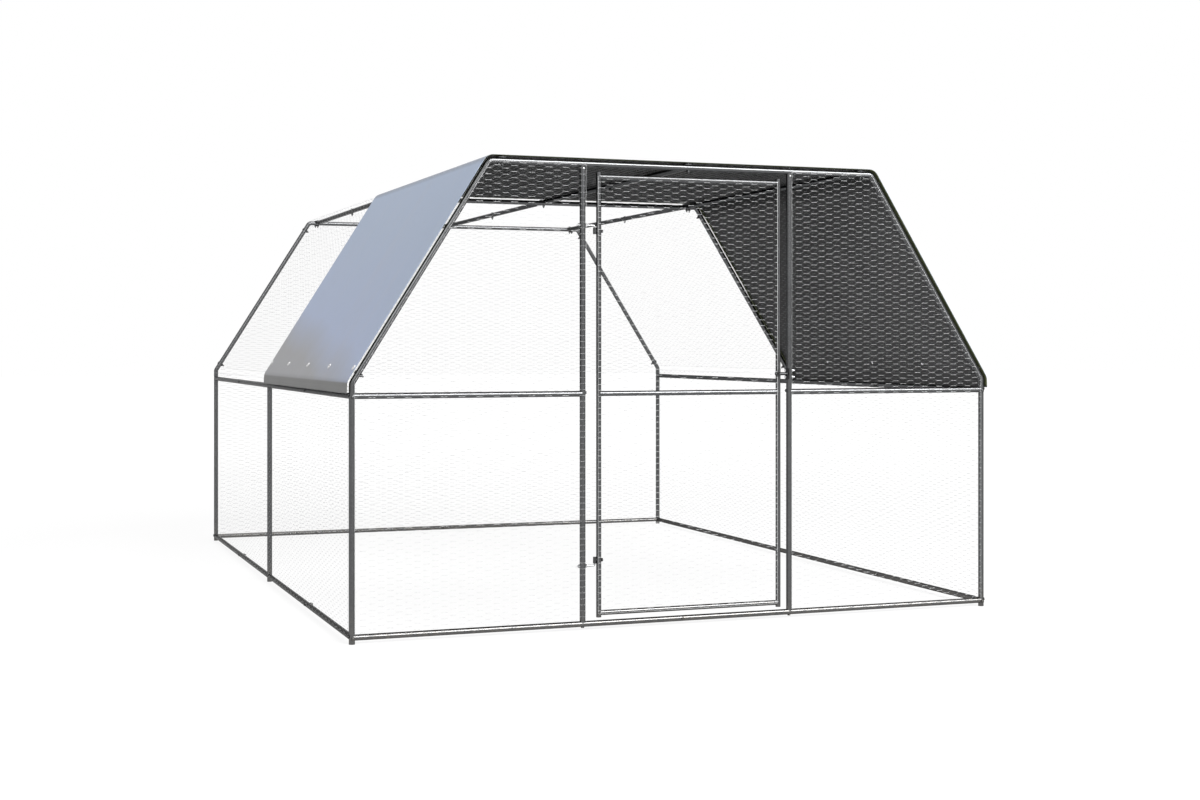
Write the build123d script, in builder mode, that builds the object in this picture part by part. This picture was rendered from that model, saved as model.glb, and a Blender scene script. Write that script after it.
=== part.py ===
from build123d import *
from math import tan, radians
import os

# A walk-in chicken cage. Three arches of round galvanised tube stand in a row from
# front to rear. Bent elbows with spigots join the straight tubes of each arch.
# Rails with saddle-shaped ends are bolted between the posts, and purlins with
# flattened end tabs are bolted on top of the arches. Hexagonal netting covers every
# side, a door hangs in the front arch, and a cover lies over the front bay. Sizes are
# in millimetres. +X is to the right, +Y to the rear and +Z up. The origin is on the
# ground, in the middle of the plan.

# Overall sizes of the frame, outside to outside
frame_width = 3000.0
frame_depth = 4000.0
frame_height = 2005.0

# Shape of an arch: where the tube axes would meet
knee_height = 1062.0
shoulder_span = 1808.0

# Frame tube, elbows and their slip joints
tube_diameter = 25.0
tube_wall = 1.2
elbow_bend_radius = 25.0
spigot_length = 65.0
slip_clearance = 0.1

# Rails between the posts, and purlins with a flattened tab at each bolted end
bottom_rail_height = 27.0
eave_rail_drop = 52.0
saddle_tip_gap = 5.0
purlin_inset = 55.0
tab_width = 36.0
tab_corner_radius = 9.0
tab_thickness = 3.0
tab_tip_gap = 1.5
tab_shoulder = 4.5
flatten_length = 35.0
flatten_corner_angle = 30.0
splice_length = 60.0
seat_gap = 0.1

# Bolts. Those of crossing rails are staggered, so that they pass each other
bolt_stagger = 5.0
bolt_flats = 13.0
bolt_head_height = 4.0
nut_height = 6.5

# Door posts and the plugs in their ends, which the bolts through the rails screw into
door_post_spacing = 980.0
plug_setback = 2.0
plug_depth = 20.0

# Door
door_tube_diameter = 22.0
hinge_stile_gap = 73.5
latch_stile_gap = 54.0
door_foot_gap = 12.5
door_head_gap = 22.0
door_rail_inset = 19.0

# Hinges: an L-shaped pintle through the post and an eye bolt through the stile
lower_hinge_rise = 222.0
upper_hinge_drop = 228.0
eye_stile_gap = 0.5
pintle_diameter = 8.0
pintle_bend_radius = 9.0
pintle_tail = 6.0
hinge_clearance = 0.1
eye_diameter = 14.0
eye_height = 28.0
eye_lift = 0.4
hinge_nut_flats = 13.0
hinge_nut_height = 6.5

# Slide bolt on the latch stile and its keeper on the right door post
latch_rise = 80.5
latch_rod_diameter = 10.0
latch_throw = 30.0
latch_guide_wall = 2.0
latch_slot_clearance = 0.5
latch_slot_margin = 4.0
latch_plate_width = 12.0
latch_plate_height = 46.0
latch_plate_thickness = 3.0
latch_handle_diameter = 6.0
latch_handle_length = 24.0
latch_end_gap = 3.4
running_clearance = 0.1
keeper_thickness = 3.0
keeper_height = 48.0
keeper_bolt_spacing = 29.0
keeper_reach = 10.0
keeper_clearance = 1.0
keeper_margin = 9.0

# Netting: flat panels with hexagonal gaps
net_thickness = 1.4
net_strand = 9.0
net_border = 14.0
net_row = 258.0
net_column = 384.0
net_twist_share = 0.35
net_gap = 0.3
net_edge = 3.0
net_side_edge = 8.0
net_corner_gap = 12.0
net_bolt_room = 18.0
roof_net_overrun = 5.0

# Cover over the front bay
cover_thickness = 1.2
cover_gap = 0.3
cover_front_overhang = 14.0
cover_rear_overhang = 26.0
cover_flap_rise = 11.0

# Worked-out sizes
tube_radius = tube_diameter / 2
bore_radius = tube_radius - tube_wall
spigot_radius = bore_radius - slip_clearance
spigot_bore_radius = spigot_radius - tube_wall
door_radius = door_tube_diameter / 2
pintle_radius = pintle_diameter / 2
rod_radius = latch_rod_diameter / 2
half_width = frame_width / 2 - tube_radius
half_depth = frame_depth / 2 - tube_radius
top_height = frame_height - tube_radius
half_shoulder = shoulder_span / 2
eave_rail_height = knee_height - eave_rail_drop
purlin_place = half_shoulder - purlin_inset
purlin_offset = tab_thickness + seat_gap
tab_flat = tube_radius + tab_shoulder
tab_overhang = tube_radius - tab_tip_gap
stack_lift = tab_thickness + seat_gap
front_line = -half_depth

right = Vector(1, 0, 0)
rearward = Vector(0, 1, 0)
up = Vector(0, 0, 1)

arches = {"front": -half_depth, "middle": 0.0, "rear": half_depth}
sides = {"left": -1, "right": 1}
bays = {"front": ("front", "middle"), "rear": ("middle", "rear")}

# Directions and turns of the right half of an arch
knee = Vector(half_width, 0, knee_height)
shoulder = Vector(half_shoulder, 0, top_height)
slope_direction = (shoulder - knee).normalized()
slope_normal = Vector(slope_direction.Z, 0, -slope_direction.X)
slope_length = (shoulder - knee).length
knee_turn = up.get_angle(slope_direction)
shoulder_turn = slope_direction.get_angle(right * -1)
knee_setback = elbow_bend_radius * tan(radians(knee_turn / 2))
shoulder_setback = elbow_bend_radius * tan(radians(shoulder_turn / 2))

# Door frame places
left_post_x = -door_post_spacing / 2
right_post_x = door_post_spacing / 2
hinge_stile_x = left_post_x + hinge_stile_gap
latch_stile_x = right_post_x - latch_stile_gap
hinge_offset = eye_diameter / 2 + eye_stile_gap + door_radius
hinge_x = hinge_stile_x - hinge_offset
door_bottom = bottom_rail_height + tube_radius + door_foot_gap
door_top = top_height - tube_radius - door_head_gap
lower_hinge_height = door_bottom + lower_hinge_rise
upper_hinge_height = door_top - upper_hinge_drop
latch_height = eave_rail_height + latch_rise
door_rail_heights = [door_bottom + door_rail_inset, eave_rail_height, door_top - door_rail_inset]


def mirrored(point, side):
    """The point on the left or right half of an arch."""
    return Vector(point.X * side, point.Y, point.Z)


def at_arch(point, arch):
    """The point moved to the plane of an arch."""
    return Vector(point.X, arches[arch], point.Z)


def straight_tube(start, end, radius=tube_radius, cross_holes=()):
    """Round tube between two points, drilled along the given (centre, direction, radius)."""
    with BuildPart() as tube:
        with BuildSketch(Plane(origin=start, z_dir=end - start)):
            Circle(radius)
            Circle(radius - tube_wall, mode=Mode.SUBTRACT)
        extrude(amount=(end - start).length)
        for centre, direction, hole_radius in cross_holes:
            with BuildSketch(Plane(origin=centre, z_dir=direction)):
                Circle(hole_radius)
            extrude(amount=2 * radius, both=True, mode=Mode.SUBTRACT)
    return tube.part


def elbow(corner, first, last, setback):
    """Bend between two directions from a corner, with a spigot for the tube at each end."""
    start = corner + first * setback
    end = corner + last * setback
    with BuildPart() as bend:
        with BuildLine():
            TangentArc(start, end, tangent=first * -1)
        with BuildSketch(Plane(origin=start, z_dir=first * -1)):
            Circle(tube_radius)
        sweep()
        for origin, direction in ((start, first), (end, last)):
            with BuildSketch(Plane(origin=origin, z_dir=direction)):
                Circle(spigot_radius)
            extrude(amount=spigot_length)
    return bend.part


def saddle_cut(tube, carrier, carrier_direction, radius=tube_radius, run=None, neighbour=None):
    """The tube with one end shaped to sit on a carrier of its own diameter.

    Its tips stop short of the carrier's axis. Where a neighbour comes to the carrier too, at
    a right angle to the tube's run, the end is mitred against it.
    """
    size = 2 * radius
    with BuildPart() as shaped:
        add(tube)
        with BuildSketch(Plane(origin=carrier, z_dir=carrier_direction)):
            Circle(radius + seat_gap)
        extrude(amount=size, both=True, mode=Mode.SUBTRACT)
        if neighbour is not None:
            with BuildSketch(Plane(origin=carrier, x_dir=run, z_dir=run.cross(neighbour))):
                Polygon((0, -seat_gap), (size, size - seat_gap), (0, size - seat_gap), align=None)
            extrude(amount=size, both=True, mode=Mode.SUBTRACT)
    return shaped.part


def coped_tube(start, end, carrier_direction, radius=tube_radius, cross_holes=(), neighbour=None):
    """Tube between two carriers, with saddle-shaped ends. A neighbour may meet its start."""
    run = (end - start).normalized()
    tube = straight_tube(start + run * saddle_tip_gap, end - run * saddle_tip_gap, radius, cross_holes)
    tube = saddle_cut(tube, start, carrier_direction, radius, run, neighbour)
    return saddle_cut(tube, end, carrier_direction, radius)


def splice_tube(start, splice, joint):
    """Tube that ends in a slip joint: a reduced spigot, or the socket that takes it."""
    run = (splice - start).normalized()
    reach = (splice - start).length
    with BuildPart() as tube:
        with BuildSketch(Plane(origin=start, z_dir=run)):
            Circle(tube_radius)
        extrude(amount=reach)
        if joint == "spigot":
            with BuildSketch(Plane(origin=splice, z_dir=run)):
                Circle(spigot_radius)
            extrude(amount=splice_length)
        with BuildSketch(Plane(origin=start, z_dir=run)):
            Circle(spigot_bore_radius if joint == "spigot" else bore_radius)
        extrude(amount=reach + splice_length, mode=Mode.SUBTRACT)
    return tube.part


def rail_half(post_point, splice, joint, neighbour=None):
    """Half of a rail, from its saddle-shaped end on a post to its slip joint."""
    run = (splice - post_point).normalized()
    tube = splice_tube(post_point + run * saddle_tip_gap, splice, joint)
    return saddle_cut(tube, post_point, up, run=run, neighbour=neighbour)


def purlin_half(carrier, splice, joint, lift):
    """Half of a purlin, from its flattened tab on a top tube to its slip joint.

    The tab lies on the top tube, flush with the upper side of the purlin's own tube, or
    lifted to lie on another tab.
    """
    run = (splice - carrier).normalized()
    axis_start = carrier + up * purlin_offset
    tab_base = axis_start + up * (tube_radius - tab_thickness + lift)
    round_start = tab_flat + flatten_length
    long_arc = 180 - 2 * flatten_corner_angle
    short_arc = 2 * flatten_corner_angle

    def station(distance):
        return Plane(origin=axis_start + run * distance, x_dir=up.cross(run), z_dir=run)

    with BuildPart() as half:
        with BuildSketch(Plane(origin=tab_base, x_dir=run, z_dir=up)) as tab:
            with Locations(((tab_flat - tab_overhang) / 2, 0)):
                Rectangle(tab_flat + tab_overhang, tab_width)
            fillet(tab.vertices().sort_by(Axis.X)[:2], tab_corner_radius)
        extrude(amount=tab_thickness)
        with BuildSketch(station(tab_flat)):
            with Locations((0, tube_radius - tab_thickness / 2 + lift)):
                Rectangle(tab_width, tab_thickness)
        with BuildSketch(station(round_start)):
            with BuildLine():
                CenterArc((0, 0), tube_radius, -flatten_corner_angle, short_arc)
                CenterArc((0, 0), tube_radius, flatten_corner_angle, long_arc)
                CenterArc((0, 0), tube_radius, 180 - flatten_corner_angle, short_arc)
                CenterArc((0, 0), tube_radius, 180 + flatten_corner_angle, long_arc)
            make_face()
        loft(ruled=True)
        add(splice_tube(axis_start + run * round_start, splice + up * purlin_offset, joint))
    return half.part


def splice_points(start, end):
    """Where the spigot half and the socket half of a rail end, half way along it."""
    middle = (start + end) * 0.5
    return middle, middle + (start - middle).normalized() * seat_gap


def spliced_rail(start, end, start_neighbour=None, end_neighbour=None):
    """The two halves of a rail between posts, with the directions of the rails it meets there."""
    middle, socket_end = splice_points(start, end)
    first = rail_half(start, socket_end, "socket", start_neighbour)
    second = rail_half(end, middle, "spigot", end_neighbour)
    return [first, second]


def spliced_purlin(start, end, start_lift):
    """The two halves of a purlin between top tubes."""
    middle, socket_end = splice_points(start, end)
    first = purlin_half(start, socket_end, "socket", start_lift)
    second = purlin_half(end, middle, "spigot", 0.0)
    return [first, second]


def hexagon_block(seat, direction, flats, height):
    """Bolt head or nut that bears on its seat and rises along a direction."""
    with BuildPart() as block:
        with BuildSketch(Plane(origin=seat, z_dir=direction)):
            RegularPolygon(flats / 2, 6, major_radius=False)
        extrude(amount=height)
    return block.part


def bolt_head(centre, head_side, level):
    """Head of a bolt, at its distance from the axis of the tube it bears on."""
    return hexagon_block(centre + head_side * (level + seat_gap), head_side, bolt_flats, bolt_head_height)


def bolt_nut(centre, nut_side, level):
    """Nut of a bolt, at its distance from the axis of the tube it bears on."""
    return hexagon_block(centre + nut_side * (level + seat_gap), nut_side, bolt_flats, nut_height)


def write_node(name, pieces):
    """Write one node: a single piece, or a group of separate pieces."""
    with BuildPart() as node:
        add(pieces)
    node.part.label = name
    export_step(node.part, f"parts/{name}.step")


os.makedirs("parts", exist_ok=True)


# Arches: posts, knee elbows, slopes, shoulder elbows and top tubes
for arch in arches:
    knee_elbows = []
    shoulder_elbows = []
    for side_name, side in sides.items():
        knee_point = at_arch(mirrored(knee, side), arch)
        shoulder_point = at_arch(mirrored(shoulder, side), arch)
        slope = mirrored(slope_direction, side)
        inward = right * -side
        foot = Vector(knee_point.X, knee_point.Y, 0)
        post = straight_tube(foot, knee_point - up * knee_setback)
        slope_tube = straight_tube(
            knee_point + slope * knee_setback, shoulder_point - slope * shoulder_setback
        )
        write_node(f"{arch}_{side_name}_post", post)
        write_node(f"{arch}_{side_name}_slope", slope_tube)
        knee_elbows.append(elbow(knee_point, up * -1, slope, knee_setback))
        shoulder_elbows.append(elbow(shoulder_point, slope * -1, inward, shoulder_setback))
    top_end = at_arch(shoulder, arch) - right * shoulder_setback
    top_tube = straight_tube(mirrored(top_end, -1), top_end)
    write_node(f"{arch}_top_tube", top_tube)
    write_node(f"{arch}_knee_elbows", knee_elbows)
    write_node(f"{arch}_shoulder_elbows", shoulder_elbows)


# Side rails between the posts, held by bolts through the front and rear posts
frame_bolts = []
for side_name, side in sides.items():
    inward = right * -side
    levels = (
        ("bottom", bottom_rail_height, {"front": inward, "rear": inward}),
        ("eave", eave_rail_height, {"front": inward}),
    )
    for level_name, height, neighbours in levels:
        for bay_name, (near, far) in bays.items():
            start = Vector(half_width * side, arches[near], height)
            end = Vector(half_width * side, arches[far], height)
            halves = spliced_rail(start, end, neighbours.get(near), neighbours.get(far))
            write_node(f"{side_name}_{level_name}_rail_{bay_name}", halves)
        for arch, outward in (("front", rearward * -1), ("rear", rearward)):
            centre = Vector(half_width * side, arches[arch], height - bolt_stagger)
            frame_bolts.append(bolt_head(centre, outward, tube_radius))


# Purlins, bolted on top of the top tubes. At the middle arch two tabs share a bolt
for name, place in (("left", -purlin_place), ("ridge", 0.0), ("right", purlin_place)):
    halves = []
    for near, far in bays.values():
        start = Vector(place, arches[near], top_height)
        end = Vector(place, arches[far], top_height)
        halves += spliced_purlin(start, end, stack_lift if near == "middle" else 0.0)
    write_node(f"{name}_purlin", halves)
    for arch, arch_place in arches.items():
        centre = Vector(place, arch_place, top_height)
        stack = stack_lift if arch == "middle" else 0.0
        frame_bolts.append(bolt_head(centre, up, tube_radius + purlin_offset + stack))
        frame_bolts.append(bolt_nut(centre, up * -1, tube_radius))


# Front and rear bottom rails and the front mid rails, held by bolts through the posts
for arch, inward in (("front", rearward), ("rear", rearward * -1)):
    left_end = Vector(-half_width, arches[arch], bottom_rail_height)
    right_end = Vector(half_width, arches[arch], bottom_rail_height)
    write_node(f"{arch}_bottom_rail", spliced_rail(left_end, right_end, inward, inward))
    frame_bolts.append(bolt_head(left_end + up * bolt_stagger, right * -1, tube_radius))
    frame_bolts.append(bolt_head(right_end + up * bolt_stagger, right, tube_radius))
for side_name, side in sides.items():
    outer_end = Vector(half_width * side, front_line, eave_rail_height)
    inner_end = Vector(right_post_x * side, front_line, eave_rail_height)
    write_node(f"front_{side_name}_mid_rail", coped_tube(outer_end, inner_end, up, neighbour=rearward))
    frame_bolts.append(bolt_head(outer_end + up * bolt_stagger, right * side, tube_radius))
    frame_bolts.append(bolt_head(inner_end + up * bolt_stagger, right * -side, tube_radius))
write_node("frame_bolts", frame_bolts)


# Door posts between the front bottom rail and the front top tube
def post_plug(carrier, direction):
    """Plug inside the end of a door post that sits on a carrier tube."""
    with BuildPart() as plug:
        start = carrier + direction * (tube_radius + plug_setback)
        with BuildSketch(Plane(origin=start, z_dir=direction)):
            Circle(spigot_radius)
        extrude(amount=plug_depth)
    return plug.part


plugs = []
door_bolts = []
hinge_heights = (lower_hinge_height, upper_hinge_height)
pintle_holes = [
    (Vector(left_post_x, front_line, height), right, pintle_radius + hinge_clearance)
    for height in hinge_heights
]
for side_name, place, holes in (("left", left_post_x, pintle_holes), ("right", right_post_x, [])):
    foot = Vector(place, front_line, bottom_rail_height)
    head = Vector(place, front_line, top_height)
    write_node(f"{side_name}_door_post", coped_tube(foot, head, right, cross_holes=holes))
    for carrier, direction in ((foot, up), (head, up * -1)):
        plugs.append(post_plug(carrier, direction))
        door_bolts.append(bolt_head(carrier, direction * -1, tube_radius))
write_node("door_post_plugs", plugs)


# Hinge pintles: the lower leg points up and the upper leg points down
eye_start = pintle_bend_radius + eye_lift
leg_length = eye_start + eye_height


def hinge_pintle(height, leg_direction):
    """L-shaped rod clamped through the left door post by a nut on each side."""
    post_axis = Vector(left_post_x, front_line, height)
    corner = Vector(hinge_x, front_line, height)
    nut_reach = tube_radius + seat_gap
    tail_end = post_axis - right * (nut_reach + hinge_nut_height + pintle_tail)
    with BuildPart() as pintle:
        with BuildLine():
            FilletPolyline(
                tail_end, corner, corner + leg_direction * leg_length, radius=pintle_bend_radius
            )
        with BuildSketch(Plane(origin=tail_end, z_dir=right)):
            Circle(pintle_radius)
        sweep()
        for direction in (right, right * -1):
            with BuildSketch(Plane(origin=post_axis + direction * nut_reach, z_dir=direction)):
                RegularPolygon(hinge_nut_flats / 2, 6, major_radius=False)
            extrude(amount=hinge_nut_height)
    return pintle.part


def hinge_eye(height, leg_direction):
    """Eye bolt: a sleeve that turns on the pintle's leg, with a shank through the stile."""
    sleeve_start = Vector(hinge_x, front_line, height) + leg_direction * eye_start
    shank_centre = sleeve_start + leg_direction * (eye_height / 2)
    bore = pintle_radius + hinge_clearance
    stile_face = hinge_offset + door_radius + seat_gap
    with BuildPart() as eye:
        with BuildSketch(Plane(origin=sleeve_start, z_dir=leg_direction)):
            Circle(eye_diameter / 2)
        extrude(amount=eye_height)
        with BuildSketch(Plane(origin=shank_centre, z_dir=right)):
            Circle(pintle_radius)
        extrude(amount=stile_face + hinge_nut_height)
        with BuildSketch(Plane(origin=shank_centre + right * stile_face, z_dir=right)):
            RegularPolygon(hinge_nut_flats / 2, 6, major_radius=False)
        extrude(amount=hinge_nut_height)
        with BuildSketch(Plane(origin=sleeve_start, z_dir=leg_direction)):
            Circle(bore)
        extrude(amount=eye_height, mode=Mode.SUBTRACT)
    return eye.part


hinges = ((lower_hinge_height, up), (upper_hinge_height, up * -1))
write_node("hinge_pintles", [hinge_pintle(height, leg) for height, leg in hinges])
write_node("hinge_eyes", [hinge_eye(height, leg) for height, leg in hinges])


# Door frame: two stiles, and three rails with saddle-shaped ends between them
eye_holes = [
    (
        Vector(hinge_stile_x, front_line, height) + leg * (eye_start + eye_height / 2),
        right,
        pintle_radius + seat_gap,
    )
    for height, leg in hinges
]
for name, place, holes in (("hinge_stile", hinge_stile_x, eye_holes), ("latch_stile", latch_stile_x, [])):
    foot = Vector(place, front_line, door_bottom)
    head = Vector(place, front_line, door_top)
    write_node(name, straight_tube(foot, head, door_radius, holes))
door_rails = []
for height in door_rail_heights:
    start = Vector(hinge_stile_x, front_line, height)
    end = Vector(latch_stile_x, front_line, height)
    door_rails.append(coped_tube(start, end, up, door_radius))
write_node("door_rails", door_rails)


# Slide bolt: plate and barrel on the front of the latch stile, slotted for the handle
plate_back = front_line - door_radius - seat_gap
barrel_radius = rod_radius + running_clearance + latch_guide_wall
rod_line = plate_back - latch_plate_thickness - barrel_radius + latch_guide_wall / 2
slot_width = latch_handle_diameter + 2 * latch_slot_clearance
slot_length = latch_throw + slot_width
guide_length = slot_length + 2 * latch_slot_margin
guide_start = Vector(latch_stile_x - guide_length / 2, rod_line, latch_height)
barrel_middle = Vector(latch_stile_x, rod_line, latch_height)
with BuildPart() as latch_guide:
    with BuildSketch(
        Plane(origin=(latch_stile_x, plate_back, latch_height), x_dir=right, z_dir=(0, -1, 0))
    ):
        Rectangle(latch_plate_width, latch_plate_height)
    extrude(amount=latch_plate_thickness)
    with BuildSketch(Plane(origin=guide_start, z_dir=right)):
        Circle(barrel_radius)
    extrude(amount=guide_length)
    with BuildSketch(Plane(origin=guide_start, z_dir=right)):
        Circle(rod_radius + running_clearance)
    extrude(amount=guide_length, mode=Mode.SUBTRACT)
    with BuildSketch(Plane(origin=barrel_middle, x_dir=right, z_dir=(0, -1, 0))):
        SlotOverall(slot_length, slot_width)
    extrude(amount=2 * barrel_radius, mode=Mode.SUBTRACT)
latch_guide.part.label = "latch_guide"
export_step(latch_guide.part, "parts/latch_guide.step")

# Sliding rod with its handle at the left end of the slot, drawn back from the keeper
keeper_face = right_post_x - tube_radius - seat_gap
keeper_front = keeper_face - keeper_thickness
rod_tip = keeper_front - latch_end_gap
handle_x = guide_start.X + latch_slot_margin + slot_width / 2
with BuildPart() as latch_rod:
    with BuildSketch(Plane(origin=guide_start, z_dir=right)):
        Circle(rod_radius)
    extrude(amount=rod_tip - guide_start.X)
    with BuildSketch(Plane(origin=(handle_x, rod_line, latch_height), z_dir=(0, -1, 0))):
        Circle(latch_handle_diameter / 2)
    extrude(amount=rod_radius + latch_handle_length)
latch_rod.part.label = "latch_rod"
export_step(latch_rod.part, "parts/latch_rod.step")

# Keeper plate on the inner face of the right door post, with a square hole for the rod
keeper_hole = latch_rod_diameter + 2 * keeper_clearance
keeper_low_y = rod_line - keeper_hole / 2 - keeper_margin
keeper_high_y = front_line + keeper_reach
keeper_plane = Plane(origin=(keeper_face, 0, latch_height), x_dir=(0, 1, 0), z_dir=right)
with BuildPart() as keeper_plate:
    with BuildSketch(keeper_plane):
        with Locations(((keeper_low_y + keeper_high_y) / 2, 0)):
            Rectangle(keeper_high_y - keeper_low_y, keeper_height)
        with Locations((rod_line, 0)):
            Rectangle(keeper_hole, keeper_hole, mode=Mode.SUBTRACT)
    extrude(amount=-keeper_thickness)
keeper_plate.part.label = "keeper_plate"
export_step(keeper_plate.part, "parts/keeper_plate.step")
for drop in (-keeper_bolt_spacing / 2, keeper_bolt_spacing / 2):
    centre = Vector(right_post_x, front_line, latch_height + drop)
    door_bolts.append(bolt_head(centre, right * -1, tube_radius + seat_gap + keeper_thickness))
    door_bolts.append(bolt_nut(centre, right, tube_radius))
write_node("door_bolts", door_bolts)


def net_panel(plane, outline, bolt_cuts=()):
    """Flat net: a border round rows of hexagonal gaps, clear of the bolt heads it meets."""
    xs = [point[0] for point in outline]
    ys = [point[1] for point in outline]
    columns = max(1, round((max(xs) - min(xs)) / net_column))
    rows = max(1, round((max(ys) - min(ys)) / net_row))
    column = (max(xs) - min(xs)) / columns
    row = (max(ys) - min(ys)) / rows
    half_twist = column * net_twist_share
    tip = column - half_twist
    shrink = (row - net_strand) / row
    gap = [
        (tip * shrink, 0),
        (half_twist * shrink, row / 2 * shrink),
        (-half_twist * shrink, row / 2 * shrink),
        (-tip * shrink, 0),
        (-half_twist * shrink, -row / 2 * shrink),
        (half_twist * shrink, -row / 2 * shrink),
    ]
    centres = []
    for i in range(columns + 1):
        for j in range(rows + 1):
            drop = row / 2 if i % 2 else 0.0
            centres.append((min(xs) + i * column, min(ys) + j * row + drop))
    with BuildSketch() as border:
        with BuildLine():
            Polyline(*outline, close=True)
        make_face()
        offset(amount=-net_border, mode=Mode.SUBTRACT)
    with BuildPart() as net:
        with BuildSketch(plane):
            with BuildLine():
                Polyline(*outline, close=True)
            make_face()
            with Locations(*centres):
                Polygon(*gap, align=None, mode=Mode.SUBTRACT)
            add(border.sketch)
            for cut in bolt_cuts:
                with Locations(cut):
                    Rectangle(net_bolt_room, net_bolt_room, mode=Mode.SUBTRACT)
        extrude(amount=net_thickness)
    return net.part


# Nets on the front, either side of the door, and on the rear. Their sloping edges run
# along the slopes' axes, a little inside them
net_level = tube_radius + net_gap
net_low = bottom_rail_height + net_edge
net_top = top_height - net_edge
net_outer = half_width - net_side_edge
net_inner = right_post_x + net_side_edge
slope_edge = knee - slope_normal * net_edge
slope_rise = slope_direction.Z / slope_direction.X
net_knee = slope_edge.Z + (net_outer - slope_edge.X) * slope_rise
net_shoulder = slope_edge.X + (net_top - slope_edge.Z) / slope_rise
front_plane = Plane(origin=(0, front_line - net_level, 0), x_dir=right, z_dir=(0, -1, 0))
for side_name, side in sides.items():
    outline = [
        (net_outer * side, net_low),
        (net_inner * side, net_low),
        (net_inner * side, net_top),
        (net_shoulder * side, net_top),
        (net_outer * side, net_knee),
    ]
    write_node(f"front_{side_name}_net", net_panel(front_plane, outline))
rear_plane = Plane(origin=(0, half_depth + net_level, 0), x_dir=(-1, 0, 0), z_dir=rearward)
rear_outline = [
    (-net_outer, net_low),
    (net_outer, net_low),
    (net_outer, net_knee),
    (net_shoulder, net_top),
    (-net_shoulder, net_top),
    (-net_outer, net_knee),
]
write_node("rear_net", net_panel(rear_plane, rear_outline))

# Nets on the side walls and slopes
net_reach = half_depth - net_side_edge
wall_top = knee_height - net_corner_gap
for side_name, side in sides.items():
    wall_plane = Plane(
        origin=((half_width + net_level) * side, 0, 0), x_dir=rearward * side, z_dir=right * side
    )
    wall_outline = [
        (-net_reach, net_low),
        (net_reach, net_low),
        (net_reach, wall_top),
        (-net_reach, wall_top),
    ]
    write_node(f"{side_name}_wall_net", net_panel(wall_plane, wall_outline))
    normal = mirrored(slope_normal, side)
    slope_plane = Plane(
        origin=mirrored(knee, side) + normal * net_level, x_dir=rearward * side, z_dir=normal
    )
    slope_outline = [
        (-net_reach, net_corner_gap),
        (net_reach, net_corner_gap),
        (net_reach, slope_length),
        (-net_reach, slope_length),
    ]
    write_node(f"{side_name}_slope_net", net_panel(slope_plane, slope_outline))

# Net on the roof, over the purlins
roof_plane = Plane.XY.offset(top_height + tube_radius + purlin_offset + stack_lift + net_gap)
roof_edge = half_shoulder - shoulder_setback + roof_net_overrun
roof_outline = [
    (-roof_edge, -net_reach),
    (roof_edge, -net_reach),
    (roof_edge, net_reach),
    (-roof_edge, net_reach),
]
roof_bolts = [(-purlin_place, 0), (0, 0), (purlin_place, 0)]
write_node("roof_net", net_panel(roof_plane, roof_outline, roof_bolts))

# Net on the door, in front of its rails
door_plane = Plane(origin=(0, front_line - door_radius - net_gap, 0), x_dir=right, z_dir=(0, -1, 0))
door_outline = [
    (hinge_stile_x + net_side_edge, door_rail_heights[0] - net_edge),
    (latch_stile_x - net_side_edge, door_rail_heights[0] - net_edge),
    (latch_stile_x - net_side_edge, door_rail_heights[2] + net_edge),
    (hinge_stile_x + net_side_edge, door_rail_heights[2] + net_edge),
]
write_node("door_net", net_panel(door_plane, door_outline))


def cover_line(level):
    """Corners of the cover's section at a distance outside the axis of an arch."""
    side_x = half_width + level
    knee_z = knee_height + level * tan(radians(knee_turn / 2))
    shoulder_x = half_shoulder + level * tan(radians(shoulder_turn / 2))
    flap_z = eave_rail_height + cover_flap_rise
    half_line = [(side_x, flap_z), (side_x, knee_z), (shoulder_x, top_height + level)]
    return [(-x, z) for x, z in half_line] + half_line[::-1]


# Cover over the front bay, lying on the bolt heads of the middle arch
cover_level = tube_radius + purlin_offset + stack_lift + seat_gap + bolt_head_height + cover_gap
cover_front = front_line - cover_front_overhang
cover_length = arches["middle"] + cover_rear_overhang - cover_front
cover_radius = elbow_bend_radius + cover_level
inner_line = cover_line(cover_level)
outer_line = cover_line(cover_level + cover_thickness)
with BuildPart() as cover_sheet:
    with BuildSketch(Plane(origin=(0, cover_front, 0), x_dir=right, z_dir=(0, -1, 0))) as section:
        with BuildLine():
            Polyline(*inner_line, *outer_line[::-1], close=True)
        make_face()
        for line, radius in (
            (inner_line, cover_radius),
            (outer_line, cover_radius + cover_thickness),
        ):
            for x, z in line[1:-1]:
                corner = section.vertices().sort_by_distance((x, z, 0))[0]
                fillet(corner, radius)
    extrude(amount=-cover_length)
cover_sheet.part.label = "cover_sheet"
export_step(cover_sheet.part, "parts/cover_sheet.step")
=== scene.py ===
import math

import bpy
import numpy as np
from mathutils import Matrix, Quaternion, Vector
from mathutils.geometry import convex_hull_2d


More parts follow.
